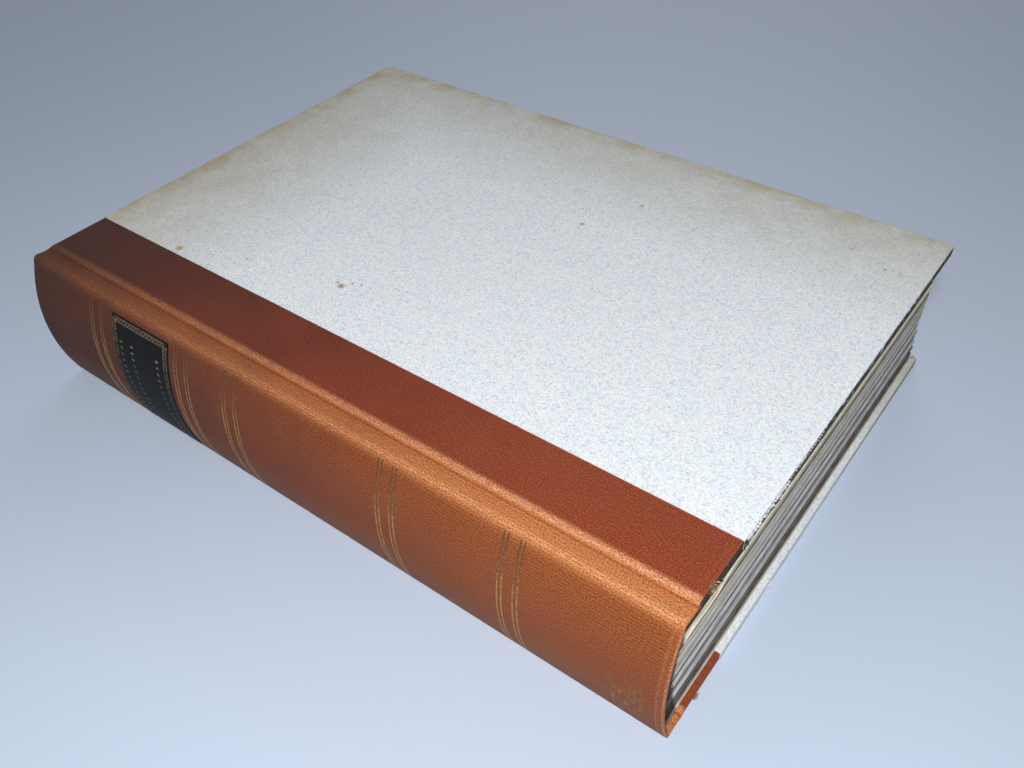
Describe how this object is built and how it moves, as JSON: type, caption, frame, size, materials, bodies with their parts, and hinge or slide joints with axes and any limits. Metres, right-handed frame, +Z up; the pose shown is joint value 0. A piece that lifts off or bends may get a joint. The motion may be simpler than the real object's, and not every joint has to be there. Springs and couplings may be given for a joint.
{
  "type": "hardback book",
  "caption": "Thick hardback book in quarter cloth: rounded cloth spine with a dark label, pale paper sides and two covers that open.",
  "frame": {"origin": "centre of the bounding box in X and Y, on the surface that the back cover lies on", "axes": "+X along the spine from head to tail, +Y from the spine to the fore edge, +Z up from the back cover to the front cover"},
  "size_m": [0.24, 0.1778, 0.0496],
  "materials": {
    "page_paper": "matte",
    "endpaper": "matte",
    "granite_paper": "matte",
    "kraft_paper": "matte",
    "spine_card": "matte",
    "binders_board": "matte",
    "book_cloth": "matte",
    "mull_cloth": "matte",
    "linen_tape": "matte",
    "label_leather": "satin",
    "gilt": "satin"
  },
  "bodies": {
    "book_block": {"page_block": "page_paper", "front_flyleaf": "endpaper", "back_flyleaf": "endpaper", "sewing_tapes": "linen_tape", "mull": "mull_cloth", "spine_lining": "kraft_paper", "spine_inlay": "spine_card", "spine_cloth": "book_cloth", "title_label": "label_leather", "label_border": "gilt", "gilt_fillets": "gilt"},
    "front_cover": {"front_side_paper": "granite_paper", "front_cloth_side": "book_cloth", "front_board": "binders_board", "front_tape_slips": "linen_tape", "front_mull_flange": "mull_cloth", "front_pastedown": "endpaper"},
    "back_cover": {"back_side_paper": "granite_paper", "back_cloth_side": "book_cloth", "back_board": "binders_board", "back_tape_slips": "linen_tape", "back_mull_flange": "mull_cloth", "back_pastedown": "endpaper"}
  },
  "joints": [
    {"name": "front_hinge", "type": "hinge", "parent": "book_block", "child": "front_cover", "pos_m": [0, -0.07927, 0.04975], "axis": [1, 0, 0], "range_deg": [0, 178]},
    {"name": "back_hinge", "type": "hinge", "parent": "book_block", "child": "back_cover", "pos_m": [0, -0.07927, -0.00015], "axis": [-1, 0, 0], "range_deg": [0, 178]}
  ]
}
